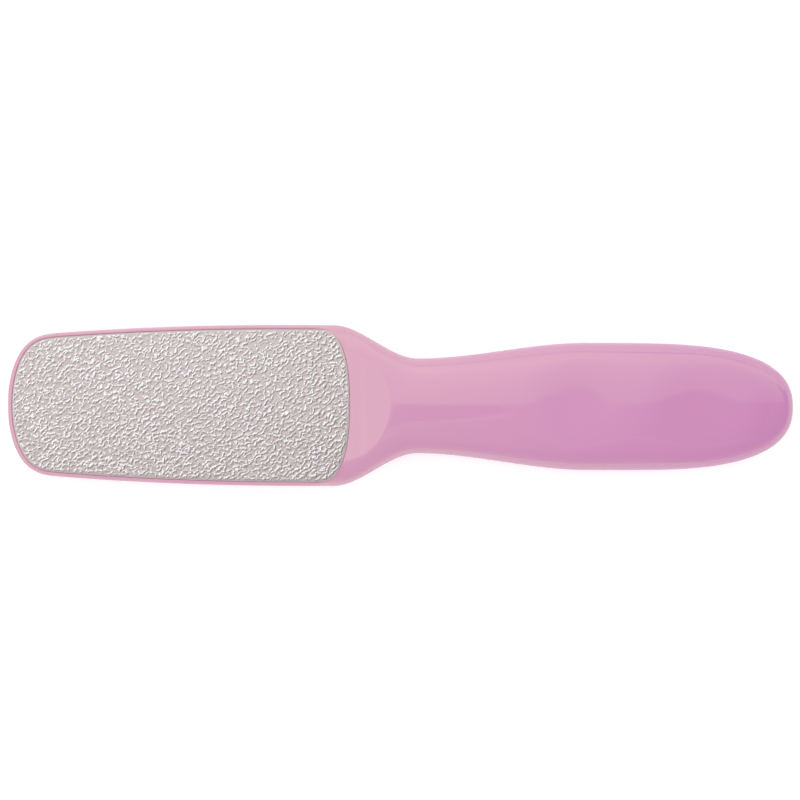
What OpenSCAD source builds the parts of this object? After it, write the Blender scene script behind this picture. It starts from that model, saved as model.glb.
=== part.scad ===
// Two-sided foot file: a pair of moulded shells, an etched rasp plate on the
// front of the head and a fine emery sheet on the back of it.
// X runs from the tip of the head (negative) to the end of the handle (positive),
// Y across, Z up. The origin is on the ground, under the middle of the file.
// Every shape function takes u, the distance from the tip of the head.

/* [Overall] */
// Length from the tip of the head to the end of the handle
overall_length = 225; // [215:1:260]
// Thickness of the moulded walls
wall = 2; // [1.8:0.1:2.4]

/* [Head outline] */
// Widest part of the head
head_width = 46.3; // [42:0.1:52]
// Width that the sides of the head aim at where they reach the tip
head_tip_width = 38.9; // [36:0.1:41]
// Distance from the tip to the widest part
head_widest = 79.7; // [70:0.1:86]
// Length of the round nose
nose_length = 15.3; // [12:0.1:18]
// How square the nose is, 2 being an ellipse
nose_squareness = 3.3; // [2.4:0.05:4]

/* [Handle outline] */
// Width of the neck
neck_width = 27.25; // [24:0.05:32]
// Distance from the tip to the narrowest part of the neck
neck_place = 117.3; // [114:0.1:124]
// Length of the shoulder between head and neck
shoulder_length = 24.3; // [22:0.1:27]
// Widest part of the grip
grip_width = 36.6; // [34:0.1:42]
// Length over which the neck flares out to the grip
flare_length = 48.3; // [44:0.1:54]
// Length of the rounded end of the handle
tail_length = 54.2; // [48:0.1:60]
// How square the end of the handle is seen from above
tail_squareness = 3.35; // [2.8:0.05:4]

/* [Heights from the joint between the shells] */
// Front face of the head above the joint
head_rise = 5; // [4.6:0.1:5.8]
// Top of the neck above the joint, which the sides of the head also aim at
neck_rise = 7.1; // [6.8:0.1:8]
// Top of the grip above the joint
grip_rise = 9.5; // [8.2:0.1:10.5]
// Rim on the back of the head below the joint
head_depth = 5; // [4.6:0.1:5.8]
// How far the back of the neck arches off the ground
neck_lift = 0.6; // [0.3:0.1:1.2]
// How square the sides of the head are in section, 2 being an ellipse
head_squareness = 5.7; // [4.5:0.1:7]

/* [Scooped step at the neck] */
// Distance from the tip to where the scoop leaves the face of the head
scoop_start = 100.7; // [99.5:0.1:102]
// Distance from the tip to where the scoop reaches the top of the neck
scoop_end = 109.3; // [108:0.1:111]

/* [Thumb rests] */
// Distance from the tip to the middle of the thumb rest nearer the neck
near_rest_place = 163.8; // [160:0.1:168]
// Depth of the thumb rest nearer the neck
near_rest_depth = 1.8; // [0.5:0.1:2]
// Distance from the tip to the middle of the thumb rest nearer the end
far_rest_place = 199.2; // [196:0.1:201]
// Depth of the thumb rest nearer the end
far_rest_depth = 1.6; // [0.5:0.1:2]
// Radius of both thumb rests
rest_radius = 18; // [14:0.5:18.5]
// Fall of the round of a thumb rest, more being a narrower middle and a wider rim
rest_fall = 2.4; // [1.6:0.1:3]

/* [Rasp plate] */
// Thickness of the etched plate
plate_thickness = 0.35; // [0.25:0.05:0.5]
// Rim of the shell left round the plate and the emery sheet
face_margin = 1.4; // [1.2:0.1:2]
// Distance from the tip to the round end of the plate
face_end = 97.7; // [95:0.1:98.5]
// Length of the round end of the plate
face_round = 8.6; // [7:0.1:11]
// How square the round end of the plate is
face_squareness = 2.5; // [2:0.1:3]
// Depth of the pocket that the plate sits in
plate_pocket = 0.35; // [0.2:0.05:0.35]

/* [Emery sheet] */
// Thickness of the emery sheet, backing and grit
sheet_thickness = 0.4; // [0.3:0.05:0.6]
// Depth of the pocket that the emery sheet sits in
sheet_pocket = 0.35; // [0.2:0.05:0.4]

/* [Adhesive] */
// Thickness of the double-sided film under the plate and the sheet
film_thickness = 0.15; // [0.1:0.05:0.25]
// How far the film stops short of the edge that it holds
film_inset = 0.3; // [0.1:0.1:1]
// Gap round the plate and the sheet in their pockets
pocket_clearance = 0.15; // [0.1:0.05:0.25]

/* [Joint between the shells] */
// Width of the weld tongue on the rear shell
tongue_width = 0.7; // [0.5:0.1:0.9]
// Height of the weld tongue
tongue_height = 0.8; // [0.5:0.1:1]
// Gap round the tongue in its groove
tongue_clearance = 0.1; // [0.05:0.05:0.15]
// Diameter of the locating pins
pin_d = 3; // [2.5:0.1:3.5]
// Height of the pins above the joint
pin_height = 1.8; // [1.2:0.1:2]
// Gap round a pin in its socket
pin_clearance = 0.1; // [0.05:0.05:0.2]
// Diameter of the bosses round pins and sockets
boss_d = 6.4; // [5.8:0.1:7.5]

/* [Ribs] */
// Thickness of the ribs behind the faces of the head
rib_thickness = 1.2; // [0.9:0.1:1.6]
// Gap left between ribs and bosses of the two shells
rib_gap = 0.3; // [0.2:0.1:0.6]
// Gap left between the end of a rib and the side wall
rib_end_gap = 2; // [1.5:0.5:4]

/* [Hidden] */

// Colours of the two-tone pink moulding, the nickel plate, the film and the grit
shell_colour = "#d4a1b5";
plate_colour = "#c8c1be";
film_colour = "#d9d2c4";
grit_colour = "#8d8a8c";

// Places along the file
shoulder_start = neck_place - shoulder_length;
grip_place = neck_place + flare_length;
tail_start = overall_length - tail_length;
// The squarish sides of the head turn oval over this stretch
oval_start_share = 0.37;
oval_end_share = 0.17;
oval_start = shoulder_start - oval_start_share * shoulder_length;
oval_end = shoulder_start + oval_end_share * shoulder_length;
// Height of the round over the tip of the head
lip_length = 10;
// Powers of the curves that close the handle and an oval
tail_root = 0.417;
oval_power = 2;

// How far the emery sheet stands out of its pocket
sheet_proud = film_thickness + sheet_thickness - sheet_pocket;
// The back of the grip lies in the plane of the emery sheet, and both lie on the ground
grip_depth = head_depth + sheet_proud;
neck_depth = grip_depth - neck_lift;
joint_z = grip_depth;

// Crest heights at the head, the neck and the grip, for the front and the rear shell
front_crests = [neck_rise, neck_rise, grip_rise];
rear_crests = [head_depth * neck_rise / head_rise, neck_depth, grip_depth];
// Distance and depth of each thumb rest
thumb_rests = [[near_rest_place, near_rest_depth], [far_rest_place, far_rest_depth]];

// Half of a wall, how far a cut runs past a face, and a short step for slopes
wall_mid = wall / 2;
overrun = 1;
slope_step = 0.01;

// Places of the pins, as shares of the length
pin_shares = [0.062, 0.382, 0.56, 0.928];
// Places of the ribs, as shares of the face's length, and of the head's half width
cross_rib_shares = [0.28, 0.5, 0.72];
long_rib_shares = [-0.5, 0, 0.5];
long_rib_start_share = 0.14;
long_rib_end_share = 0.9;

// Steps along each stretch of the file and round a section
nose_steps = 7;
head_steps = 12;
shoulder_steps = 13;
flare_steps = 15;
tail_steps = 14;
round_steps = 22;
hollow_round_steps = 14;
scoop_steps = 10;
face_end_steps = 9;
// Facets round the pins, sockets and bosses
pin_facets = 48;

// Eases from 0 to 1 between two places
function ease(from, to, u) =
    let (t = min(max((u - from) / (to - from), 0), 1))
    t * t * (3 - 2 * t);

// Shares that close the nose and the tail, in plan and in height
function nose_share(u) = sqrt(1 - pow(max(nose_length - u, 0) / nose_length, nose_squareness));
function tail_share(u) = pow(1 - pow(max(u - tail_start, 0) / tail_length, tail_squareness), tail_root);
function lip_share(u) =
    pow(1 - pow(max(lip_length - u, 0) / lip_length, head_squareness), 1 / head_squareness);

// Half the width of the side of the head, carried on past the shoulder
function head_side(u) =
    let (away = max(head_widest - u, 0) / head_widest)
    (head_width - (head_width - head_tip_width) * away * away) / 2;

// Half the width of the whole file
function half_width(u) =
    let (
        at_neck = ease(shoulder_start, neck_place, u),
        at_grip = ease(neck_place, grip_place, u),
        side = head_side(u) * (1 - at_neck) + neck_width / 2 * at_neck
    )
    (side + (grip_width - neck_width) / 2 * at_grip) * nose_share(u) * tail_share(u);

// Height of a shell's crest over the joint, before the face of the head is cut
function crest(crests, u) =
    (crests[0]
        + (crests[1] - crests[0]) * ease(shoulder_start, neck_place, u)
        + (crests[2] - crests[1]) * ease(neck_place, grip_place, u))
        * lip_share(u) * tail_share(u);

// Power of the rounded section: squarish at the head, oval at the handle
function section_power(u) =
    head_squareness + (oval_power - head_squareness) * ease(oval_start, oval_end, u);

// Depth of the thumb rests at a point
function dent(rest, u, y) =
    let (t = min(norm([u - rest[0], y]) / rest_radius, 1))
    rest[1] * pow(1 - t * t, rest_fall);
function dents(rests, u, y, i = 0) =
    i == len(rests) ? 0 : dent(rests[i], u, y) + dents(rests, u, y, i + 1);

// Distances from the tip of every section
function between(from, to, steps) = [for (i = [1 : steps]) from + (to - from) * i / steps];
nose_places = [for (i = [0 : nose_steps]) nose_length * (1 - cos(90 * i / nose_steps))];
tail_places = [for (i = [1 : tail_steps]) tail_start + tail_length * sin(90 * i / tail_steps)];
places = concat(
    nose_places,
    between(nose_length, oval_start, head_steps),
    between(oval_start, neck_place, shoulder_steps),
    between(neck_place, tail_start, flare_steps),
    tail_places
);
inner_places = [for (i = [1 : len(places) - 2]) places[i]];

// A point of the outline moved inwards, square to it: distance from the tip and half width
function inset_point(u, inset) =
    let (
        before = max(u - slope_step, 0),
        after = min(u + slope_step, overall_length),
        slope = (half_width(after) - half_width(before)) / (after - before),
        long = sqrt(1 + slope * slope)
    )
    [u + inset * slope / long, half_width(u) - inset / long];

// Closed outline of the file, moved inwards
function outline(inset) =
    let (side = [for (u = inner_places) inset_point(u, inset)])
    concat(
        [[inset, 0]],
        [for (p = side) p],
        [[overall_length - inset, 0]],
        [for (i = [len(side) - 1 : -1 : 0]) [side[i][0], -side[i][1]]]
    );

// Closed outline of the plate, the emery sheet and their films, moved inwards from the plate's edge
function face_outline(inset) =
    let (
        inner = face_margin + inset,
        round_start = face_end - face_round,
        flank = [for (u = inner_places) if (u < round_start) inset_point(u, inner)],
        cap = [
            for (i = [0 : face_end_steps - 1])
                let (
                    a = 90 * i / face_end_steps,
                    u = round_start + (face_round - inset) * pow(sin(a), 2 / face_squareness)
                )
                [u, (half_width(u) - inner) * pow(cos(a), 2 / face_squareness)]
        ],
        side = concat(flank, cap)
    )
    concat(
        [[inner, 0]],
        side,
        [[face_end - inset, 0]],
        [for (i = [len(side) - 1 : -1 : 0]) [side[i][0], -side[i][1]]]
    );

// One section as a loop of points, from one side over the crest to the other
function section(crests, rests, u, inset, steps) =
    let (
        edge = inset_point(u, inset),
        height = crest(crests, edge[0]) - inset,
        bend = 2 / section_power(edge[0])
    )
    [
        for (i = [0 : steps])
            let (
                a = 180 * i / steps - 90,
                y = edge[1] * sign(a) * pow(abs(sin(a)), bend),
                rise = abs(a) == 90 ? 0 : height * pow(cos(a), bend)
            )
            [edge[0], y, rise - dents(rests, edge[0], y) * cos(a)]
    ];

// Faces of a solid through loops of equal length, closed by a point at each end
function loft_faces(loops, size) =
    let (last = loops * size, first_tip = last, end_tip = last + 1)
    concat(
        [
            for (i = [0 : loops - 2], k = [0 : size - 1])
                let (a = i * size + k, b = i * size + (k + 1) % size)
                each [[a, b, b + size], [a, b + size, a + size]]
        ],
        [for (k = [0 : size - 1]) [first_tip, (k + 1) % size, k]],
        [
            for (k = [0 : size - 1])
                [end_tip, last - size + k, last - size + (k + 1) % size]
        ]
    );

module loft(loops, first_tip, end_tip) {
    polyhedron(
        points = concat([for (loop = loops) each loop], [first_tip, end_tip]),
        faces = loft_faces(len(loops), len(loops[0])),
        convexity = 6
    );
}

// The full outer form of one shell, standing on the joint
module outer_form(crests, rests) {
    loft(
        [for (u = inner_places) section(crests, rests, u, 0, round_steps)],
        [0, 0, 0],
        [overall_length, 0, 0]
    );
}

// The hollow inside it, which runs on below the joint
module inner_form(crests, rests) {
    loops = [
        for (u = inner_places)
            let (
                arch = section(crests, rests, u, wall, hollow_round_steps),
                end = arch[hollow_round_steps]
            )
            concat([[end[0], -end[1], -overrun]], arch, [[end[0], end[1], -overrun]])
    ];
    first = loops[0][0];
    last = loops[len(loops) - 1][0];
    loft(loops, [first[0], 0, -overrun / 2], [last[0], 0, -overrun / 2]);
}

// What is cut away over the head, down to a face at the given height, ending in the scoop
module face_cutter(level, crest_height) {
    run = scoop_end - scoop_start;
    rise = neck_rise - head_rise;
    radius = (run * run + rise * rise) / (2 * rise);
    sweep = 2 * asin(run / radius);
    scoop = [
        for (i = [0 : scoop_steps])
            let (a = sweep * i / scoop_steps)
            [scoop_start + radius * sin(a), level + radius * (1 - cos(a))]
    ];
    top = max(scoop[scoop_steps][1], crest_height + overrun);
    translate([0, head_width / 2 + overrun, 0])
        rotate([90, 0, 0])
            linear_extrude(height = head_width + 2 * overrun)
                polygon(concat(
                    [[-overrun, level]],
                    scoop,
                    [[scoop[scoop_steps][0], top], [-overrun, top]]
                ));
}

// The same over the back of the head, without a scoop
module back_cutter(level) {
    translate([-overrun, -head_width / 2 - overrun, level])
        cube([neck_place + overrun, head_width + 2 * overrun, rear_crests[0] + overrun]);
}

// The pocket for a plate or sheet, sunk into a face at the given height
module face_pocket(level, depth) {
    translate([0, 0, level - depth])
        linear_extrude(height = depth + overrun)
            polygon(face_outline(-pocket_clearance));
}

// A band along the joint, between two distances from the edge
module joint_band(outside, inside, height) {
    linear_extrude(height = height)
        difference() {
            polygon(outline(outside));
            polygon(outline(inside));
        }
}

// Ribs on the back of a face, from near the joint into the wall
module ribs(level) {
    foot = rib_gap / 2;
    height = level - wall_mid - foot;
    for (share = cross_rib_shares) {
        u = share * face_end;
        reach = half_width(u) - wall - rib_end_gap;
        translate([u - rib_thickness / 2, -reach, foot])
            cube([rib_thickness, 2 * reach, height]);
    }
    for (share = long_rib_shares)
        translate([long_rib_start_share * face_end, share * head_width / 2 - rib_thickness / 2, foot])
            cube([(long_rib_end_share - long_rib_start_share) * face_end, rib_thickness, height]);
}

// Height of the skin over the joint at the middle, where a boss grows from it
function skin(crests, rests, level, u) =
    u < scoop_start ? level : crest(crests, u) - dents(rests, u, 0);

// Bosses that carry the pins or the sockets
module bosses(crests, rests, level) {
    foot = rib_gap / 2;
    for (share = pin_shares) {
        u = share * overall_length;
        translate([u, 0, foot])
            cylinder(d = boss_d, h = skin(crests, rests, level, u) - wall_mid - foot, $fn = pin_facets);
    }
}

// Cylinders at every pin place
module pin_set(d, h) {
    for (share = pin_shares)
        translate([share * overall_length, 0, 0])
            cylinder(d = d, h = h, $fn = pin_facets);
}

// Puts a shell's frame in place: distances from the tip along X, the joint at its height
module on_joint() {
    translate([-overall_length / 2, 0, joint_z])
        children();
}

// Front half of the moulding: face of the head, scooped step, neck and grip with thumb rests
module front_shell() {
    color(shell_colour)
        on_joint()
            difference() {
                union() {
                    difference() {
                        outer_form(front_crests, thumb_rests);
                        face_cutter(head_rise, grip_rise);
                        difference() {
                            inner_form(front_crests, thumb_rests);
                            face_cutter(head_rise - wall, grip_rise);
                        }
                    }
                    ribs(head_rise);
                    bosses(front_crests, thumb_rests, head_rise);
                }
                face_pocket(head_rise, plate_pocket);
                groove();
                translate([0, 0, -overrun])
                    pin_set(pin_d + 2 * pin_clearance, pin_height + pin_clearance + overrun);
            }
}

// Groove for the weld tongue, in the middle of the wall
module groove() {
    tongue_start = (wall - tongue_width) / 2;
    translate([0, 0, -overrun])
        joint_band(
            tongue_start - tongue_clearance,
            tongue_start + tongue_width + tongue_clearance,
            tongue_height + tongue_clearance + overrun
        );
}

// Rear half of the moulding: a plainer shell with the tongue and the pins
module rear_shell() {
    tongue_start = (wall - tongue_width) / 2;
    color(shell_colour)
        on_joint() {
            mirror([0, 0, 1])
                difference() {
                    union() {
                        difference() {
                            outer_form(rear_crests, []);
                            back_cutter(head_depth);
                            difference() {
                                inner_form(rear_crests, []);
                                back_cutter(head_depth - wall);
                            }
                        }
                        ribs(head_depth);
                        bosses(rear_crests, [], head_depth);
                    }
                    face_pocket(head_depth, sheet_pocket);
                }
            translate([0, 0, -wall_mid])
                joint_band(tongue_start, tongue_start + tongue_width, tongue_height + wall_mid);
            translate([0, 0, -wall_mid])
                pin_set(pin_d, pin_height + wall_mid);
        }
}

// A flat piece with the outline of the faces
module face_sheet(level, inset, thickness) {
    translate([0, 0, level])
        linear_extrude(height = thickness)
            polygon(face_outline(inset));
}

// Double-sided film that holds the rasp plate in its pocket
module rasp_adhesive() {
    color(film_colour)
        on_joint()
            face_sheet(head_rise - plate_pocket, film_inset, film_thickness);
}

// Etched rasp plate on the front of the head
module rasp_plate() {
    color(plate_colour)
        on_joint()
            face_sheet(head_rise - plate_pocket + film_thickness, 0, plate_thickness);
}

// Double-sided film that holds the emery sheet
module emery_adhesive() {
    color(film_colour)
        on_joint()
            mirror([0, 0, 1])
                face_sheet(head_depth - sheet_pocket, film_inset, film_thickness);
}

// Fine emery sheet on the back of the head, which the file lies on
module emery_sheet() {
    color(grit_colour)
        on_joint()
            mirror([0, 0, 1])
                face_sheet(head_depth - sheet_pocket + film_thickness, 0, sheet_thickness);
}

front_shell();
rear_shell();
rasp_plate();
rasp_adhesive();
emery_sheet();
emery_adhesive();
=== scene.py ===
# %% [markdown]
# # A two-sided foot file
# The real object is a paddle of glossy pink plastic, moulded in two halves, with an etched
# metal plate glued to the front of its head and a fine emery sheet to the back.
# We start from the engineering model, which already has every piece at its real size and
# place, and we only add what that model leaves out: smooth flowing surfaces, relief and finish.
# Everything here is in metres, in the same frame as the engineering model.

# %% Load the frame
import math

import bmesh
import bpy
import numpy as np
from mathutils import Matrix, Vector


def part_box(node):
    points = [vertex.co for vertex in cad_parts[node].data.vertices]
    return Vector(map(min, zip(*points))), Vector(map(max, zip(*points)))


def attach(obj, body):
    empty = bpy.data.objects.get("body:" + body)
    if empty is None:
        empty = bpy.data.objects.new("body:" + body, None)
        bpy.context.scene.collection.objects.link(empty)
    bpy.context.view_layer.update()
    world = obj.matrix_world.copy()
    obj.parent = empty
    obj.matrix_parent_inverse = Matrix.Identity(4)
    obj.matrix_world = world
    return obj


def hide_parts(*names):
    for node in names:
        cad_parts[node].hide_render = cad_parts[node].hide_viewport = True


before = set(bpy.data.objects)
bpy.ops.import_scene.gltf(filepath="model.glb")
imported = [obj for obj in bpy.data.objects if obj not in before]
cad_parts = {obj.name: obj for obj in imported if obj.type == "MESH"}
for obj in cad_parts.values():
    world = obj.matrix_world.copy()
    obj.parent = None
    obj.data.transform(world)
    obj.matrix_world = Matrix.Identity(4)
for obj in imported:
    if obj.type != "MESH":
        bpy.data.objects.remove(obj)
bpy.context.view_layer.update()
MM = 0.001
print("CAD nodes:", sorted(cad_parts))

# %% [markdown]
# ## The lines of the moulding
# A moulded handle has hardly a straight line in it, so it isn't built from boxes. A designer
# draws three curves: the outline from above, the crest from the side, and a section that turns
# from squarish at the head to oval at the handle. We write those curves as formulas of u, the
# distance from the tip of the head in millimetres, so that the same curve gives the shell,
# the pocket in it and the plate in the pocket. Lengths and heights are read from the frame
# where the frame has them.

# %% Sizes in millimetres
front_low, front_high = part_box("front_shell")
plate_low, plate_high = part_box("rasp_plate")
emery_low, emery_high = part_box("emery_sheet")

LENGTH = (front_high.x - front_low.x) / MM
START = front_low.x / MM
JOINT_Z = front_low.z / MM
# Outline of the head and its nose
HEAD_WIDTH = (front_high.y - front_low.y) / MM
HEAD_TIP_WIDTH = 38.9
HEAD_WIDEST = 79.7
NOSE_LENGTH = 15.3
NOSE_SQUARENESS = 3.3
# Outline of the neck, the grip and the tail
NECK_WIDTH = 27.25
NECK_PLACE = 117.3
SHOULDER_LENGTH = 24.3
GRIP_WIDTH = 36.6
FLARE_LENGTH = 48.3
TAIL_LENGTH = 54.2
TAIL_SQUARENESS = 3.35
TAIL_ROOT = 0.417
# Heights above the joint and depths below it
HEAD_RISE = 5.0
HEAD_DEPTH = 5.0
NECK_RISE = 7.1
GRIP_RISE = 9.5
GRIP_DEPTH = JOINT_Z
# The back of the neck is arched a little off the table
NECK_ARCH = 0.6
NECK_DEPTH = JOINT_Z - NECK_ARCH
# The section turns from squarish to oval between two shares of the shoulder's length
HEAD_SQUARENESS = 5.7
OVAL_BEFORE_SHARE = 0.37
OVAL_AFTER_SHARE = 0.17
LIP_LENGTH = 10.0
SCOOP_START = 100.7
SCOOP_END = 109.3
# Faces for the plate and the sheet, and their pockets
FACE_MARGIN = 1.4
FACE_END = plate_high.x / MM - START
FACE_ROUND = 8.6
FACE_SQUARENESS = 2.5
POCKET_DEPTH = 0.35
POCKET_CLEARANCE = 0.15
POCKET_LIP = 0.25
# Distance from the tip and depth of each thumb rest
THUMB_RESTS = [(163.8, 1.8), (199.2, 1.6)]
REST_RADIUS = 18.0
REST_FALL = 2.4

SHOULDER_START = NECK_PLACE - SHOULDER_LENGTH
GRIP_PLACE = NECK_PLACE + FLARE_LENGTH
TAIL_START = LENGTH - TAIL_LENGTH
OVAL_START = SHOULDER_START - OVAL_BEFORE_SHARE * SHOULDER_LENGTH
OVAL_END = SHOULDER_START + OVAL_AFTER_SHARE * SHOULDER_LENGTH
print(f"file {LENGTH:.1f} mm long, head {HEAD_WIDTH:.1f} mm wide, joint {JOINT_Z:.1f} mm up")

# %% The outline and the crest as formulas
def ease(start, end, u):
    t = np.clip((u - start) / (end - start), 0, 1)
    return t * t * (3 - 2 * t)


def nose_share(u):
    return np.sqrt(1 - np.clip((NOSE_LENGTH - u) / NOSE_LENGTH, 0, 1) ** NOSE_SQUARENESS)


def tail_share(u):
    far = np.clip((u - TAIL_START) / TAIL_LENGTH, 0, 1)
    return (1 - far ** TAIL_SQUARENESS) ** TAIL_ROOT


def lip_share(u):
    near = np.clip((LIP_LENGTH - u) / LIP_LENGTH, 0, 1)
    return (1 - near ** HEAD_SQUARENESS) ** (1 / HEAD_SQUARENESS)


def half_width(u):
    away = np.clip(HEAD_WIDEST - u, 0, None) / HEAD_WIDEST
    head = (HEAD_WIDTH - (HEAD_WIDTH - HEAD_TIP_WIDTH) * away**2) / 2
    at_neck = ease(SHOULDER_START, NECK_PLACE, u)
    side = head * (1 - at_neck) + NECK_WIDTH / 2 * at_neck
    flare = (GRIP_WIDTH - NECK_WIDTH) / 2 * ease(NECK_PLACE, GRIP_PLACE, u)
    return (side + flare) * nose_share(u) * tail_share(u)


def crest(heights, u):
    head, neck, grip = heights
    body = head + (neck - head) * ease(SHOULDER_START, NECK_PLACE, u)
    body = body + (grip - neck) * ease(NECK_PLACE, GRIP_PLACE, u)
    return body * lip_share(u) * tail_share(u)


def section_power(u):
    return HEAD_SQUARENESS + (2 - HEAD_SQUARENESS) * ease(OVAL_START, OVAL_END, u)


widest = half_width(np.linspace(0, LENGTH, 2000)).max()
print(f"widest half width by the formula {widest:.2f} mm, by the frame {HEAD_WIDTH / 2:.2f} mm")

# %% [markdown]
# ## From curves to a surface
# Each shell is a run of cross sections. A section is worked out on many fine points and then
# spread again at even steps along its own length, because points that bunch in the corners of
# the squarish head would leave its flat face with long thin faces that shade badly.
# Where the flat face of the head or the scoop cuts into the rounded form, the real mould has
# a small radius. A smooth minimum of the two heights gives that radius without any extra cut.

# %% Sections
FRONT_CRESTS = (NECK_RISE, NECK_RISE, GRIP_RISE)
REAR_CRESTS = (HEAD_DEPTH * NECK_RISE / HEAD_RISE, NECK_DEPTH, GRIP_DEPTH)
RIM_SOFTNESS = 0.30
CREASE_SOFTNESS = 0.10
SEAM_CHAMFER = 0.12
FINE_POINTS = 1500
# Sections along the nose, the head, the shoulder, the grip and the tail of a fine shell
SECTION_COUNTS = (44, 60, 120, 90, 64)
# The close sections of the shoulder end this far before the neck
NECK_LEAD = 4


def smooth_minimum(a, b, softness):
    blend = np.clip(softness - np.abs(a - b), 0, None) / softness
    return np.minimum(a, b) - blend**2 * softness / 4


def scoop_height(u):
    run, rise = SCOOP_END - SCOOP_START, NECK_RISE - HEAD_RISE
    radius = (run**2 + rise**2) / (2 * rise)
    along = np.clip(u - SCOOP_START, 0, radius)
    return radius - np.sqrt(radius**2 - along**2)


def thumb_dents(u, y, half):
    depth = np.zeros_like(y)
    for place, deep in THUMB_RESTS:
        t = np.clip(np.hypot(u - place, y) / REST_RADIUS, 0, 1)
        depth += deep * (1 - t * t) ** REST_FALL
    return depth * np.sqrt(np.clip(1 - (y / half) ** 2, 0, 1))


def section(u, heights, face, scooped, steps):
    """Points (y, z) over one section, from one side of the joint to the other."""
    half, top, power = half_width(u), crest(heights, u), section_power(u)
    angle = np.linspace(-math.pi / 2, math.pi / 2, FINE_POINTS)
    oval = np.sign(angle) * np.abs(np.sin(angle)) ** (2 / power)
    y = half * np.sort(np.concatenate([oval, np.linspace(-1, 1, FINE_POINTS)]))
    z = top * np.clip(1 - np.abs(y / half) ** power, 0, 1) ** (1 / power)
    if scooped:
        z = z - thumb_dents(u, y, half)
    if u < NECK_PLACE:
        level = face + (scoop_height(u) if scooped else 0)
        soft = RIM_SOFTNESS + (CREASE_SOFTNESS - RIM_SOFTNESS) * ease(OVAL_START, OVAL_END, u)
        z = np.minimum(z, smooth_minimum(z, level, soft))
    along = np.concatenate([[0], np.cumsum(np.hypot(np.diff(y), np.diff(z)))])
    even = np.linspace(0, along[-1], steps + 1)
    y, z = np.interp(even, along, y), np.interp(even, along, z)
    y[0], y[-1] = y[0] + SEAM_CHAMFER * half / widest, y[-1] - SEAM_CHAMFER * half / widest
    return y, np.clip(z, 0, None)


def stations(fine):
    """Distances from the tip for every section, closer together where fine is larger."""
    nose_n, head_n, shoulder_n, grip_n, tail_n = (int(n * fine) for n in SECTION_COUNTS)
    neck = NECK_PLACE - NECK_LEAD
    nose = NOSE_LENGTH * (1 - np.cos(np.linspace(0, math.pi / 2, nose_n)[1:]))
    head = np.linspace(NOSE_LENGTH, OVAL_START, head_n)[1:]
    shoulder = np.linspace(OVAL_START, neck, shoulder_n)[1:]
    grip = np.linspace(neck, TAIL_START, grip_n)[1:]
    tail = TAIL_START + TAIL_LENGTH * np.sin(np.linspace(0, math.pi / 2, tail_n)[1:-1])
    return np.concatenate([nose, head, shoulder, grip, tail])


print(len(stations(1.0)), "sections for a fine shell")

# %% A closed mesh from rows of points
def closed_mesh(name, rows, first_tip, last_tip):
    """A solid over rows of points: the rows, a strip that closes them below, and two tips."""
    count, size, _ = rows.shape
    verts = np.vstack([rows.reshape(-1, 3), [first_tip, last_tip]]) * MM
    index = np.arange(count * size).reshape(count, size)
    ring = np.concatenate([index, index[:, :1]], axis=1)
    a, b, c, d = ring[:-1, :-1], ring[:-1, 1:], ring[1:, 1:], ring[1:, :-1]
    quads = np.stack([a, d, c, b], axis=-1).reshape(-1, 4).tolist()
    first, last = count * size, count * size + 1
    fans = [(first, int(p), int(q)) for p, q in zip(ring[0, :-1], ring[0, 1:])]
    fans += [(last, int(q), int(p)) for p, q in zip(ring[-1, :-1], ring[-1, 1:])]
    mesh = bpy.data.meshes.new(name)
    mesh.from_pydata(verts.tolist(), [], quads + fans)
    mesh.validate()
    mesh.update()
    piece = bpy.data.objects.new(name, mesh)
    bpy.context.scene.collection.objects.link(piece)
    return piece


def shade(piece, angle):
    piece.data.shade_smooth()
    piece.data.set_sharp_from_angle(angle=math.radians(angle))


def shell(name, heights, face, scooped, side, steps, fine):
    """Half of the moulding: side is 1 above the joint and -1 below it."""
    rows = []
    for u in stations(fine):
        y, z = section(u, heights, face, scooped, steps)
        rows.append(np.column_stack([np.full_like(y, START + u), y, JOINT_Z + side * z]))
    rows = np.array(rows)
    if side < 0:
        rows = rows[:, ::-1]
    piece = closed_mesh(name, rows, (START, 0, JOINT_Z), (START + LENGTH, 0, JOINT_Z))
    print(f"{name}: {len(piece.data.vertices)} vertices")
    return piece


front = shell("front_moulding", FRONT_CRESTS, HEAD_RISE, scooped=True, side=1, steps=200, fine=1.0)
rear = shell("rear_moulding", REAR_CRESTS, HEAD_DEPTH, scooped=False, side=-1, steps=120, fine=0.6)

# %% [markdown]
# ## Pockets for the plate and the sheet
# The plate sits in a shallow pocket, so that its sharp edge can't catch the skin. The mould
# rounds the lip of the pocket a little, and that round is the thin bright line that the eye
# sees beside the metal. The pocket is cut with a solid of its outline whose wall flares out
# over the last quarter millimetre, so the cut and its rounded lip are made in one go.

# %% Outline of the faces and the cut
# Steps round the lip
LIP_STEPS = 5
# The cutter stands out of the face by this much
OVERRUN = 1.0
# Edges sharper than this many degrees stay sharp on the shells and on the relief
SHELL_CREASE = 35
RELIEF_CREASE = 75


def inset_side(u, inset):
    """The outline moved inwards square to itself: distances from the tip and half widths."""
    step = 0.01
    before, after = np.clip(u - step, 0, None), u + step
    slope = (half_width(after) - half_width(before)) / (after - before)
    long = np.sqrt(1 + slope**2)
    return u + inset * slope / long, half_width(u) - inset / long


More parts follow.
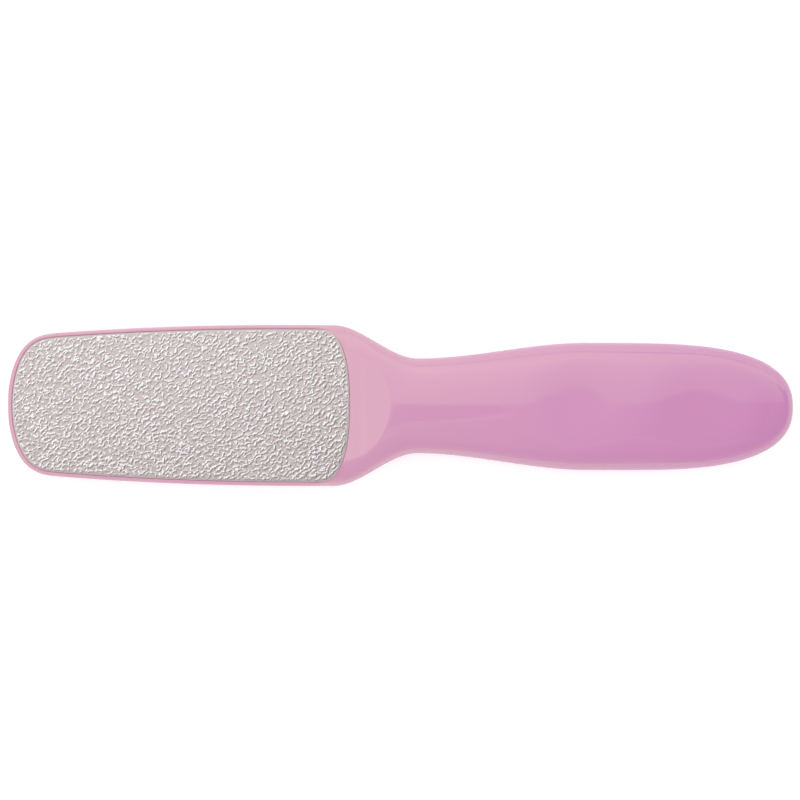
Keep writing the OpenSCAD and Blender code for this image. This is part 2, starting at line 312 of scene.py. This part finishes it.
def face_side(inset, nose_count, side_count, cap_count):
    """One side of the face's outline from nose to round end: distances and half widths."""
    inner = FACE_MARGIN + inset
    round_start = FACE_END - FACE_ROUND
    nose = NOSE_LENGTH * (1 - np.cos(np.linspace(0, math.pi / 2, nose_count + 1)[1:]))
    straight = np.linspace(NOSE_LENGTH, round_start, side_count + 1)[1:]
    u, y = inset_side(np.concatenate([nose, straight]), inner)
    turn = np.linspace(0, math.pi / 2, cap_count + 1)[1:-1]
    cap_u = round_start + (FACE_ROUND - inset) * np.sin(turn) ** (2 / FACE_SQUARENESS)
    cap_y = (half_width(cap_u) - inner) * np.cos(turn) ** (2 / FACE_SQUARENESS)
    return np.concatenate([u, cap_u]), np.concatenate([y, cap_y])


def face_loop(inset):
    u, y = face_side(inset, nose_count=24, side_count=30, cap_count=24)
    tip, end = (FACE_MARGIN + inset, 0), (FACE_END - inset, 0)
    return [tip, *zip(u, y), end, *zip(u[::-1], -y[::-1])]


def cut_pocket(piece, face, side):
    """Cuts the pocket, with its rounded lip, into the face of one shell."""
    levels = [(POCKET_CLEARANCE, face - POCKET_DEPTH), (POCKET_CLEARANCE, face - POCKET_LIP)]
    for turn in np.linspace(0, math.pi / 2, LIP_STEPS + 1)[1:]:
        flare = POCKET_CLEARANCE + POCKET_LIP * (1 - math.cos(turn))
        levels.append((flare, face - POCKET_LIP + POCKET_LIP * math.sin(turn)))
    levels.append((POCKET_CLEARANCE + POCKET_LIP, face + OVERRUN))
    cutter = bmesh.new()
    rings = []
    for outwards, z in levels:
        points = [(START + u, y, JOINT_Z + side * z) for u, y in face_loop(-outwards)]
        rings.append([cutter.verts.new(Vector(p) * MM) for p in points])
    for low, high in zip(rings, rings[1:]):
        for k in range(len(low)):
            m = (k + 1) % len(low)
            cutter.faces.new((low[k], low[m], high[m], high[k]))
    cutter.faces.new(rings[0])
    cutter.faces.new(rings[-1])
    bmesh.ops.recalc_face_normals(cutter, faces=cutter.faces)
    mesh = bpy.data.meshes.new("pocket_cutter")
    cutter.to_mesh(mesh)
    cutter.free()
    tool = bpy.data.objects.new("pocket_cutter", mesh)
    bpy.context.scene.collection.objects.link(tool)
    cut = piece.modifiers.new("pocket", "BOOLEAN")
    cut.operation, cut.solver, cut.object = "DIFFERENCE", "EXACT", tool
    graph = bpy.context.evaluated_depsgraph_get()
    result = bpy.data.meshes.new_from_object(piece.evaluated_get(graph))
    piece.modifiers.clear()
    piece.data = result
    bpy.data.objects.remove(tool)
    print(f"{piece.name}: pocket cut, {len(result.vertices)} vertices")


cut_pocket(front, HEAD_RISE, 1)
cut_pocket(rear, HEAD_DEPTH, -1)
shade(front, SHELL_CREASE)
shade(rear, SHELL_CREASE)

# %% [markdown]
# ## The etched plate
# A foot rasp of this kind is a thin steel sheet. Acid eats pits into it that almost touch, and
# leaves sharp bits of wall between them, highest where three pits meet, so that it scrapes
# without cutting. The sheet is then plated with nickel. A picture of the walls pasted on a flat
# sheet would look dead from the side, so they are modelled. The walls are the borders between
# random cells: a point lies on one when the two nearest cell centres are equally far away.
# Acid never eats evenly, so every wall and every corner gets its own share of the full height.

# %% Borders between random cells
# The random cells repeat after this many, and a centre keeps this share of a cell from its rim
CELL_COUNT = 97
CELL_RIM_SHARE = 0.15


def cell_walls(x, y, size, seed):
    """Distances to the nearest wall and the next one, and a random number for wall and corner."""
    count = CELL_COUNT
    rng = np.random.default_rng(seed)
    shift = CELL_RIM_SHARE + (1 - 2 * CELL_RIM_SHARE) * rng.random((count, count, 2))
    draw = rng.random(count * count)
    column, row = np.floor(x / size).astype(int), np.floor(y / size).astype(int)
    centres, names = [], []
    for i in range(-2, 3):
        for j in range(-2, 3):
            a, b = (column + i) % count, (row + j) % count
            centres.append(np.stack([column + i + shift[a, b, 0], row + j + shift[a, b, 1]]) * size)
            names.append(a * count + b)
    centres, names = np.stack(centres), np.stack(names)
    far = np.hypot(centres[:, 0] - x, centres[:, 1] - y)
    order = np.argpartition(far, (0, 1, 2), axis=0)[:3]
    far = np.take_along_axis(far, order, axis=0)
    names = np.take_along_axis(names, order, axis=0)
    centres = np.take_along_axis(centres, order[:, None], axis=0)
    walls = []
    for k in (1, 2):
        apart = np.hypot(*(centres[k] - centres[0]))
        walls.append((far[k] ** 2 - far[0] ** 2) / (2 * apart))
    chances = []
    for near in (2, 3):
        # The sum is the same in whichever order the cells meet, and the factor spreads it evenly
        chances.append(7 * draw[names[:near]].sum(axis=0) % 1)
    return walls[0], walls[1], chances[0], chances[1]


def waves(x, y, length, seed, count=24):
    """Smooth random waves of about one length, as a sum of sines in random directions."""
    rng = np.random.default_rng(seed)
    total = np.zeros_like(x)
    for turn, phase, stretch in rng.random((count, 3)):
        k = 2 * math.pi / (length * (0.8 + 0.4 * stretch))
        direction = 2 * math.pi * turn
        along = x * math.cos(direction) + y * math.sin(direction)
        total += np.sin(k * along + 2 * math.pi * phase)
    return total / math.sqrt(count / 2)


# Sizes in mm. The tops are cut off flat, because the acid never reaches the masked metal
CELL_SIZE = 1.2
# The rows of cells run slantwise over the file, and the cells are a little longer that way
SLANT = math.radians(40)
STRETCH = 1.15
PEAK_HEIGHT = 0.16
PEAK_WIDTH = 0.28
FLAT_TOP = 1.3
# How fast a peak falls along a wall, against square to it
PEAK_ALONG = 0.5
# Share of the corners whose peak stays below its full height
LOW_PEAKS = 0.5
WALL_HEIGHT = 0.085
WALL_WIDTH = 0.16
# Distance from a corner over which its walls sink, and what is left of them beyond it
WALL_REACH = 0.3
WALL_REST = 0.12
# Share of the walls that are left, and share that is left below its full height
WALLS_KEPT = 0.8
WALLS_LOW = 0.6
# Random bends that take the straightness out of the walls
BEND = 0.22
BEND_LENGTH = 2.4
# Low swells that acid leaves on the ground of the pits
SWELL_LENGTH = 0.8
SWELL_HEIGHT = 0.006
print(f"about {FACE_END * HEAD_WIDTH / (CELL_SIZE**2 * STRETCH):.0f} pits on the plate")

# %% Plate and sheet as closed solids with relief
# About the length of the face between its nose and its round end
FACE_STRAIGHT = 75
# The relief fades out at the edge over this distance
BORDER = 0.30


def faced_sheet(name, low_z, high_z, side, pitch, relief):
    """A thin solid with the outline of the faces, its outer face raised by relief(x, y, edge)."""
    turns = math.pi / 2 / pitch
    nose_count, cap_count = int(NOSE_LENGTH * turns), int(FACE_ROUND * turns)
    u, half = face_side(0, nose_count, int(FACE_STRAIGHT / pitch), cap_count)
    steps = int(2 * half.max() / pitch)
    t = np.linspace(-1, 1, steps + 1)
    x = np.repeat(u[:, None], len(t), axis=1)
    y = half[:, None] * t[None, :]
    slope = np.gradient(half, u)[:, None]
    edge = (half[:, None] - np.abs(y)) / np.sqrt(1 + slope**2)
    # The rounded ends fall away, so the distance to them counts twice
    edge = np.minimum(edge, np.minimum(x - FACE_MARGIN, FACE_END - x) * 2)
    z = high_z + side * relief(x, y, np.clip(edge, 0, None))
    top = np.stack([START + x, y, z], axis=-1)
    base_left, base_right = top[:, :1].copy(), top[:, -1:].copy()
    base_left[..., 2] = base_right[..., 2] = low_z
    rows = np.concatenate([base_left, top, base_right], axis=1)
    if side < 0:
        rows = rows[:, ::-1]
    middle = (low_z + high_z) / 2
    tips = (START + FACE_MARGIN, 0, middle), (START + FACE_END, 0, middle)
    piece = closed_mesh(name, rows, *tips)
    print(f"{name}: {len(piece.data.vertices)} vertices")
    return piece


def etched_walls(x, y, edge):
    bent_x = x + BEND * waves(x, y, BEND_LENGTH, seed=21)
    bent_y = y + BEND * waves(x, y, BEND_LENGTH, seed=22)
    along = (bent_x * math.cos(SLANT) + bent_y * math.sin(SLANT)) / STRETCH
    across = bent_y * math.cos(SLANT) - bent_x * math.sin(SLANT)
    first, second, wall_chance, peak_chance = cell_walls(along, across, CELL_SIZE, seed=23)
    kept = ease(1 - WALLS_KEPT, 1 - WALLS_KEPT + WALLS_LOW, wall_chance)
    near_corner = WALL_REST + (1 - WALL_REST) * np.exp(-((second / WALL_REACH) ** 2))
    wall = WALL_HEIGHT * np.exp(-((first / WALL_WIDTH) ** 2)) * kept * near_corner
    near_peak = first**2 + PEAK_ALONG * second**2
    peak = PEAK_HEIGHT * np.clip(FLAT_TOP * np.exp(-near_peak / PEAK_WIDTH**2), 0, 1)
    peak = peak * ease(0, LOW_PEAKS, peak_chance)
    swell = SWELL_HEIGHT * waves(x, y, SWELL_LENGTH, seed=24)
    return (np.maximum(wall, peak) + swell) * ease(BORDER, 2 * BORDER, edge)


# Step of the relief, and depth of the etched ground below the plate's full thickness
PLATE_PITCH = 0.13
PLATE_SUNK = 0.09
plate = faced_sheet("etched_plate", plate_low.z / MM, plate_high.z / MM - PLATE_SUNK,
                    side=1, pitch=PLATE_PITCH, relief=etched_walls)
shade(plate, RELIEF_CREASE)

# %% [markdown]
# ## The emery sheet
# Emery is crushed grit glued to a backing sheet. At arm's length it reads as an even dark
# sparkle, because grains stand out by about a twentieth of a millimetre. The grains are the
# same random cells, smaller and all there, and each facet of a grain has its own height.

# %% Emery relief
GRAIN_SIZE = 0.6
GRAIN_HEIGHT = 0.05
# Share of its size over which a grain rises, and the least height as a share of the full one
GRAIN_SLOPE_SHARE = 0.3
GRAIN_LEAST_SHARE = 0.4
EMERY_PITCH = 0.22


def grains(x, y, edge):
    first, _, chance, _ = cell_walls(x, y, GRAIN_SIZE, seed=31)
    full = GRAIN_LEAST_SHARE + (1 - GRAIN_LEAST_SHARE) * chance
    bump = full * ease(0, GRAIN_SLOPE_SHARE * GRAIN_SIZE, first)
    return GRAIN_HEIGHT * (bump - 1) * ease(0, BORDER, edge)


emery = faced_sheet("emery_face", emery_high.z / MM, emery_low.z / MM,
                    side=-1, pitch=EMERY_PITCH, relief=grains)
shade(emery, RELIEF_CREASE)

# %% [markdown]
# ## Colours and materials
# Colours are written as the hex values a designer would pick on a screen. Blender works with
# linear light, so one function turns each channel. Another adds a node to a material with its
# settings and its links, which keeps every material below to the few lines that matter.

# %% Material helpers
def colour(code):
    channels = [int(code[i : i + 2], 16) / 255 for i in (1, 3, 5)]
    linear = [c / 12.92 if c <= 0.04045 else ((c + 0.055) / 1.055) ** 2.4 for c in channels]
    return (*linear, 1.0)


def add(tree, kind, inputs=None, **settings):
    node = tree.nodes.new(kind)
    for name, value in settings.items():
        setattr(node, name, value)
    for name, value in (inputs or {}).items():
        if isinstance(value, bpy.types.NodeSocket):
            tree.links.new(value, node.inputs[name])
        else:
            node.inputs[name].default_value = value
    return node


def new_material(name):
    material = bpy.data.materials.new(name)
    material.use_nodes = True
    material.node_tree.nodes.clear()
    return material, material.node_tree


def ramp_colours(node, stops):
    """Sets a colour ramp's stops from pairs of position and hex colour."""
    elements = node.color_ramp.elements
    while len(elements) > 1:
        elements.remove(elements[-1])
    elements[0].position, elements[0].color = stops[0][0], colour(stops[0][1])
    for position, code in stops[1:]:
        elements.new(position).color = colour(code)


def wear(piece, material):
    piece.data.materials.clear()
    piece.data.materials.append(material)
    for polygon in piece.data.polygons:
        polygon.material_index = 0


print("helpers ready")

# %% [markdown]
# ## Glossy ABS
# The shells are ABS, a tough plastic that takes the polish of its mould, so its gloss is close
# to a clear coat: IOR 1.5 and a low roughness. The base colour is set warmer at the head and
# turns to mauve along the handle. It has a pearl pigment in it, thin flakes that mirror
# one colour and let its opposite through. Under a pink body they mirror a yellow green, so the
# reflections are stronger than plain ABS gives and look beige on the pink instead of white.
# Moulded plastic is never quite flat either. It has a faint orange-peel swell a few
# millimetres across where the melt cooled unevenly, which bends long reflections a little,
# and fine marks from handling that only change the gloss.

# %% ABS material
def moulded_abs():
    material, tree = new_material("glossy_pink_abs")
    place = add(tree, "ShaderNodeTexCoord")
    split = add(tree, "ShaderNodeSeparateXYZ", {"Vector": place.outputs["Object"]})
    along = add(tree, "ShaderNodeMapRange", {
        "Value": split.outputs["X"],
        "From Min": START * MM,
        "From Max": (START + LENGTH) * MM,
    })
    tint = add(tree, "ShaderNodeValToRGB", {"Fac": along.outputs["Result"]})
    ramp_colours(tint, [(0.0, "#DEA2C3"), (0.4, "#DDA0C3"), (0.5, "#DB9BC3"), (0.76, "#D791C3"),
                        (1.0, "#D38AC2")])
    swell = add(tree, "ShaderNodeTexNoise", {
        "Vector": place.outputs["Object"], "Scale": 1 / (6 * MM), "Detail": 1.0,
    })
    peel = add(tree, "ShaderNodeBump", {
        "Height": swell.outputs["Fac"], "Strength": 0.02, "Distance": 0.4 * MM,
    })
    marks = add(tree, "ShaderNodeTexNoise", {
        "Vector": place.outputs["Object"], "Scale": 1 / (1.5 * MM), "Detail": 4.0,
    })
    gloss = add(tree, "ShaderNodeMapRange", {
        "Value": marks.outputs["Fac"], "To Min": 0.07, "To Max": 0.11,
    })
    abs_shader = add(tree, "ShaderNodeBsdfPrincipled", {
        "Base Color": tint.outputs["Color"],
        "Roughness": gloss.outputs["Result"],
        "IOR": 1.5,
        "Specular IOR Level": 1.0,
        "Specular Tint": (0.68, 1.0, 0.30, 1.0),
        "Normal": peel.outputs["Normal"],
    })
    add(tree, "ShaderNodeOutputMaterial", {"Surface": abs_shader.outputs["BSDF"]})
    return material


abs_material = moulded_abs()
print("material:", abs_material.name)

# %% [markdown]
# ## Nickel-plated steel
# Nickel is a slightly warm white metal. Etching leaves the ground matt, so it spreads the
# light, while the tops of the walls keep the smoothness of the rolled sheet and flash. So
# roughness follows the height of a point over the ground, with a cloud of noise over it. The
# tone follows the same height as painted light: lighter on the tops as a painted highlight,
# and darker and warmer on the etched ground as painted shade.
# The metal keeps the default IOR, because a metal's colour already says how it reflects.

# %% Nickel material
def etched_nickel():
    material, tree = new_material("etched_nickel_plate")
    place = add(tree, "ShaderNodeTexCoord")
    split = add(tree, "ShaderNodeSeparateXYZ", {"Vector": place.outputs["Object"]})
    ground = plate_high.z - PLATE_SUNK * MM
    # 0 on the ground and 1 on the tops of the walls
    raised = add(tree, "ShaderNodeMapRange", {
        "Value": split.outputs["Z"],
        "From Min": ground + 0.02 * MM,
        "From Max": ground + 0.13 * MM,
    })
    cloud = add(tree, "ShaderNodeTexNoise", {
        "Vector": place.outputs["Object"], "Scale": 1 / (4 * MM), "Detail": 3.0,
    })
    polish_and_painted_highlight = add(tree, "ShaderNodeMath", {
        0: cloud.outputs["Fac"], 1: 0.15, 2: raised.outputs["Result"],
    }, operation="MULTIPLY_ADD")
    # Painted highlight and shade: the tone is lighter on the tops of the walls and darker, warmer
    # on the etched ground
    tone = add(tree, "ShaderNodeValToRGB", {"Fac": polish_and_painted_highlight.outputs[0]})
    ramp_colours(tone, [(0.05, "#CAC1BD"), (0.4, "#D6CECA"), (1.0, "#E0E2E1")])
    satin = add(tree, "ShaderNodeMapRange", {
        "Value": polish_and_painted_highlight.outputs[0], "To Min": 0.29, "To Max": 0.13,
    })
    tooth = add(tree, "ShaderNodeTexNoise", {
        "Vector": place.outputs["Object"], "Scale": 1 / (0.2 * MM), "Detail": 2.0,
    })
    grain = add(tree, "ShaderNodeBump", {
        "Height": tooth.outputs["Fac"], "Strength": 0.25, "Distance": 0.03 * MM,
    })
    nickel = add(tree, "ShaderNodeBsdfPrincipled", {
        "Base Color": tone.outputs["Color"],
        "Metallic": 1.0,
        "Roughness": satin.outputs["Result"],
        "Normal": grain.outputs["Normal"],
    })
    add(tree, "ShaderNodeOutputMaterial", {"Surface": nickel.outputs["BSDF"]})
    return material


nickel_material = etched_nickel()
print("material:", nickel_material.name)

# %% [markdown]
# ## Emery and film
# Emery cloth is coated with dark grey grains that differ in tone from one to the next, so
# cells of colour stand for grains. The double-sided film under both faces is a clear polymer
# that shows only as a thin pale edge. It stays the engineering model's own solid.

# %% Emery and film materials
def emery_cloth():
    material, tree = new_material("fine_emery_cloth")
    place = add(tree, "ShaderNodeTexCoord")
    cells = add(tree, "ShaderNodeTexVoronoi", {
        "Vector": place.outputs["Object"], "Scale": 1 / (0.4 * MM),
    })
    tone = add(tree, "ShaderNodeValToRGB", {"Fac": cells.outputs["Color"]})
    ramp_colours(tone, [(0.0, "#5E5B5C"), (0.5, "#8A8788"), (0.93, "#9C999A"), (1.0, "#D8D4D2")])
    rough_grain = add(tree, "ShaderNodeBump", {
        "Height": cells.outputs["Distance"], "Strength": 0.5, "Distance": 0.08 * MM,
    })
    cloth = add(tree, "ShaderNodeBsdfPrincipled", {
        "Base Color": tone.outputs["Color"],
        "Roughness": 0.62,
        "IOR": 1.6,
        "Normal": rough_grain.outputs["Normal"],
    })
    add(tree, "ShaderNodeOutputMaterial", {"Surface": cloth.outputs["BSDF"]})
    return material


def clear_film():
    material, tree = new_material("double_sided_film")
    place = add(tree, "ShaderNodeTexCoord")
    haze = add(tree, "ShaderNodeTexNoise", {
        "Vector": place.outputs["Object"], "Scale": 1 / (3 * MM),
    })
    tone = add(tree, "ShaderNodeValToRGB", {"Fac": haze.outputs["Fac"]})
    ramp_colours(tone, [(0.3, "#CFC8BC"), (0.7, "#DDD7CC")])
    film = add(tree, "ShaderNodeBsdfPrincipled", {
        "Base Color": tone.outputs["Color"],
        "Roughness": 0.4,
        "IOR": 1.47,
    })
    add(tree, "ShaderNodeOutputMaterial", {"Surface": film.outputs["BSDF"]})
    return material


emery_material, film_material = emery_cloth(), clear_film()
print("materials:", emery_material.name, film_material.name)

# %% Dress the pieces
DRESSED = [
    (front, "front_shell", "shell", abs_material),
    (rear, "rear_shell", "shell", abs_material),
    (plate, "rasp_plate", "rasp", nickel_material),
    (emery, "emery_sheet", "emery", emery_material),
]
for piece, node, slot, material in DRESSED:
    wear(piece, material)
    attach(piece, "root")
    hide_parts(node)
for node in ("rasp_adhesive", "emery_adhesive"):
    wear(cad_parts[node], film_material)
print("dressed", len(DRESSED), "pieces and two films")

# %% [markdown]
# ## Floor, light and camera
# The photograph looks straight down on the file through a long lens, with white all round.
# Two kinds of light are kept apart here, as a product photographer does. An even soft light
# from all sides, with one large lamp above, gives the pink its body. What the gloss mirrors is
# set by cards hung round the table. The floor and the world are white to the camera, and to
# the gloss that mirrors them, and the floor still takes the shadow of the file.

# %% Floor
FLOOR_SIZE = 3.0
FLOOR_GLOW = 0.42
# The floor lies a hair below the file, so that no two faces share a plane
FLOOR_GAP = 0.5 * MM


def seen_ray(tree):
    """1 for rays from the camera and for the gloss and glass that mirror them, else 0."""
    path = add(tree, "ShaderNodeLightPath")
    seen = path.outputs["Is Camera Ray"]
    for kind in ("Is Glossy Ray", "Is Transmission Ray"):
        both = add(tree, "ShaderNodeMath", {0: seen, 1: path.outputs[kind]}, operation="MAXIMUM")
        seen = both.outputs[0]
    return seen


def white_floor():
    """Paper that glows a little to seen rays, which lifts its grey to white round the shadow."""
    material, tree = new_material("white_paper")
    glow = add(tree, "ShaderNodeMath", {0: seen_ray(tree), 1: FLOOR_GLOW}, operation="MULTIPLY")
    light = add(tree, "ShaderNodeEmission", {"Strength": glow.outputs[0]})
    paper = add(tree, "ShaderNodeBsdfDiffuse", {"Color": colour("#F0F0F0")})
    both = add(tree, "ShaderNodeAddShader", {0: light.outputs[0], 1: paper.outputs[0]})
    add(tree, "ShaderNodeOutputMaterial", {"Surface": both.outputs[0]})
    return material


floor_mesh = bpy.data.meshes.new("floor")
corners = [(-1, -1), (1, -1), (1, 1), (-1, 1)]
corners = [(x * FLOOR_SIZE / 2, y * FLOOR_SIZE / 2, 0) for x, y in corners]
floor_mesh.from_pydata(corners, [], [(0, 1, 2, 3)])
floor = bpy.data.objects.new("floor", floor_mesh)
floor.location.z = -FLOOR_GAP
bpy.context.scene.collection.objects.link(floor)
wear(floor, white_floor())
print("floor", FLOOR_SIZE, "m wide")

# %% [markdown]
# ## Cards for the gloss
# A polished handle is drawn by what it mirrors. A surface that leans by some angle mirrors what
# hangs twice as far from straight overhead, so the place of a card follows from the slope at
# the place where its reflection is seen. The far cards are light and the near ones grey, and
# the line where they meet hangs a little askew to the file: it runs along the middle of the
# handle. The near ones and the tent are a little rosy, which shows in the dark sides of the
# etched walls. A small dark flag low over the neck draws the dark wedge there, its pale edge the
# light line beside the wedge, and a narrow strip the wavy line below the thumb rests. The
# window and the two cards over the plate are a cool white, which the metal mirrors. A dim tent
# stands behind everything, lighter at the tip. Each card has its own brightness at each
# corner, and runs evenly from one to the next.

# %% How a card is made
# Faces along each side of a card, which carry the run of its brightness
CARD_STEPS = 12


def card_material(name, hue):
    material, tree = new_material(name)
    strength = add(tree, "ShaderNodeAttribute", attribute_name="radiance").outputs["Fac"]
    glow = add(tree, "ShaderNodeEmission", {"Color": colour(hue), "Strength": strength})
    add(tree, "ShaderNodeOutputMaterial", {"Surface": glow.outputs[0]})
    return material


def slab(corner, along, across):
    """The corners of a card from one corner and two edges."""
    corner, along, across = (np.array(v, float) for v in (corner, along, across))
    return corner, corner + along, corner + along + across, corner + across


def card(name, corners, radiances, material):
    """A card seen only in gloss, from four corners in mm with a radiance at each."""
    a, b = np.meshgrid(*[np.linspace(0, 1, CARD_STEPS + 1)] * 2)
    shares = np.stack([(1 - a) * (1 - b), a * (1 - b), a * b, (1 - a) * b], axis=-1)
    points = (shares @ np.array(corners, float)).reshape(-1, 3) * MM
    values = (shares @ np.array(radiances, float)).ravel()
    index = np.arange(a.size).reshape(a.shape)
    quads = np.stack([index[:-1, :-1], index[:-1, 1:], index[1:, 1:], index[1:, :-1]], axis=-1)
    mesh = bpy.data.meshes.new(name)
    mesh.from_pydata(points.tolist(), [], quads.reshape(-1, 4).tolist())
    mesh.attributes.new("radiance", "FLOAT", "POINT").data.foreach_set("value", values)
    holder = bpy.data.objects.new(name, mesh)
    bpy.context.scene.collection.objects.link(holder)
    holder.visible_camera = holder.visible_diffuse = holder.visible_shadow = False
    holder.visible_transmission = holder.visible_volume_scatter = False
    wear(holder, material)


# %% Where the cards hang
# Heights of the hung cards and the low flag, and the tent's half width, in mm
HANG = 600
UPPER = HANG - 2
FLAG = 60
TENT = 2600
# Radiance of the dim sides of the tent
DIM = 0.35
# Left end of the three walls, and the edge along them
LEFT = -2500
WIDE = (-2 * LEFT, 0, 0)
# A point of the line where the far and the near cards meet, and how far the line is askew
LINE_X, LINE_Y = -70, 12.4
SKEW = 0.108


def on_line(x):
    return x, LINE_Y + (x - LINE_X) * SKEW, HANG


def run(start, end):
    """An edge of a card along that line."""
    return end - start, (end - start) * SKEW, 0


def flat(height, *places):
    """The corners of a level card from four places."""
    return [(x, y, height) for x, y in places]


def even(radiance):
    return (radiance,) * 4


# Edges away from that line, and the edges of the tent's sides
FAR, NEAR = (-113, 1050, 0), (0, -1050, 0)
WALL, CEILING, LONG = (0, 0, 2 * TENT), (0, 2 * TENT, 0), (2 * TENT, 0, 0)
# Each card has a name, its corners in mm and the radiance at each corner
WHITE_CARDS = [
    ("far_left", slab(on_line(-1570), run(-1570, 60), FAR), (1.8, 0.87, 1.9, 1.3)),
    ("far_middle", slab(on_line(60), run(60, 400), FAR), (0.87, 0.62, 1.65, 1.9)),
    ("far_right", slab(on_line(400), run(400, 1500), FAR), (0.62, 0.9, 1.35, 1.65)),
    ("far_wall", slab((LEFT, 1070, 225), WIDE, (0, 0, 375)), even(1.6)),
    ("far_horizon", slab((LEFT, 1070, 0), WIDE, (0, 0, 150)), even(1.5)),
    ("over_step", slab((-17.5, -40, 150), (8.5, 0, 0), (0, 80, 0)), even(1.25)),
    ("over_scoop", slab((-900, -60, UPPER), (725, 0, 0), (0, 120, 0)), even(1.3)),
    ("flag", flat(FLAG, (-2, 1.7), (23, 1.4), (23, -8.5), (-2, -28)), (0.22, 0.18, 0.18, 0.22)),
    ("flag_edge", flat(FLAG, (-2, -28), (26, -7.5), (26, -11), (-2, -31.5)),
     (0.75, 0.85, 0.85, 0.75)),
    ("strip", flat(UPPER, (-20, -285), (460, -540), (460, -600), (-20, -325)),
     (0.75, 0.65, 0.65, 0.75)),
    ("tent_left", slab((-TENT, -TENT, -TENT), CEILING, WALL), even(1.0)),
]
ROSY_CARDS = [
    ("near_tip", slab(on_line(-1570), run(-1570, -400), NEAR), (1.3, 1.1, 0.8, 1.0)),
    ("near_left", slab(on_line(-400), run(-400, -150), NEAR), (1.1, 0.5, 0.55, 0.8)),
    ("near_middle", slab(on_line(-150), run(-150, 60), NEAR), (0.5, 0.52, 0.3, 0.55)),
    ("near_right", slab(on_line(60), run(60, 580), NEAR), (0.52, 0.15, 0.4, 0.3)),
    ("near_wall", slab((LEFT, -1040, 40), WIDE, (0, 0, 400)), (0.75, 0.75, 0.3, 0.3)),
    ("tent_right", slab((TENT, -TENT, -TENT), CEILING, WALL), even(DIM)),
    ("tent_near", slab((-TENT, -TENT, -TENT), LONG, WALL), even(DIM)),
    ("tent_far", slab((-TENT, TENT, -TENT), LONG, WALL), even(DIM)),
    ("tent_roof", slab((-TENT, -TENT, TENT), LONG, CEILING), even(DIM)),
]
COOL_CARDS = [
    ("window", slab((-1000, -50, HANG - 1), (660, 0, 0), (0, 800, 0)), even(1.7)),
    ("over_tip", slab((-175, -31, UPPER), (75, 0, 0), (0, 62, 0)), (1.5, 1.5, 1.3, 1.25)),
    ("over_plate", slab((-82, -26, 260), (64.5, 0, 0), (0, 52, 0)), (1.5, 1.8, 1.5, 1.25)),
]
HUNG = [
    ("studio_card", "#FFFFFF", WHITE_CARDS),
    ("warm_card", "#FFF5FA", ROSY_CARDS),
    ("window_light", "#F6F5FF", COOL_CARDS),
]
for name, hue, cards in HUNG:
    material = card_material(name, hue)
    for values in cards:
        card(*values, material)
    print(len(cards), "cards hung with", name)

# %% Lamp and world
def soft_lamp(name, centre, size, irradiance):
    """A square lamp aimed at the file, from the light it gives a sheet of paper facing it."""
    lamp = bpy.data.lights.new(name, "AREA")
    lamp.shape, lamp.size = "SQUARE", size
    lamp.energy = irradiance * math.pi**2 * Vector(centre).length ** 2
    holder = bpy.data.objects.new(name, lamp)
    holder.location = centre
    holder.rotation_euler = Vector(centre).to_track_quat("Z", "Y").to_euler()
    holder.visible_glossy = False
    bpy.context.scene.collection.objects.link(holder)
    return holder


key = soft_lamp("key", centre=(-0.8, 1.0, 1.2), size=1.0, irradiance=0.14)
world = bpy.data.worlds.new("studio")
world.use_nodes = True
bpy.context.scene.world = world
room = world.node_tree
room.nodes.clear()
soft = add(room, "ShaderNodeBackground", {"Color": (1, 1, 1, 1), "Strength": 0.915})
white = add(room, "ShaderNodeBackground", {"Color": (1, 1, 1, 1), "Strength": 1.0})
seen = seen_ray(room)
mix = add(room, "ShaderNodeMixShader", {0: seen, 1: soft.outputs[0], 2: white.outputs[0]})
add(room, "ShaderNodeOutputWorld", {"Surface": mix.outputs[0]})
print("key lamp of", key.data.energy, "W")

# %% Camera
# The picture's width and the file's length in it, in px
FRAME_PX = 800
FILE_PX = 784
PX = LENGTH * MM / FILE_PX
# Where the camera aims, in px from the middle of the file, and its turn in degrees
AIM_PX = (-1.0, 5.8)
TURN = 0.2
CAMERA_HEIGHT = 1.20
camera = bpy.data.cameras.new("camera")
camera.sensor_width = 36.0
camera.lens = camera.sensor_width * (CAMERA_HEIGHT - JOINT_Z * MM) / (FRAME_PX * PX)
camera.clip_end = 10
eye = bpy.data.objects.new("camera", camera)
eye.location = (AIM_PX[0] * PX, AIM_PX[1] * PX, CAMERA_HEIGHT)
eye.rotation_euler = (0, 0, math.radians(TURN))
bpy.context.scene.collection.objects.link(eye)
bpy.context.scene.camera = eye
bpy.context.scene.view_settings.view_transform = "Standard"
print(f"lens {camera.lens:.0f} mm, {PX / MM:.3f} mm per px")
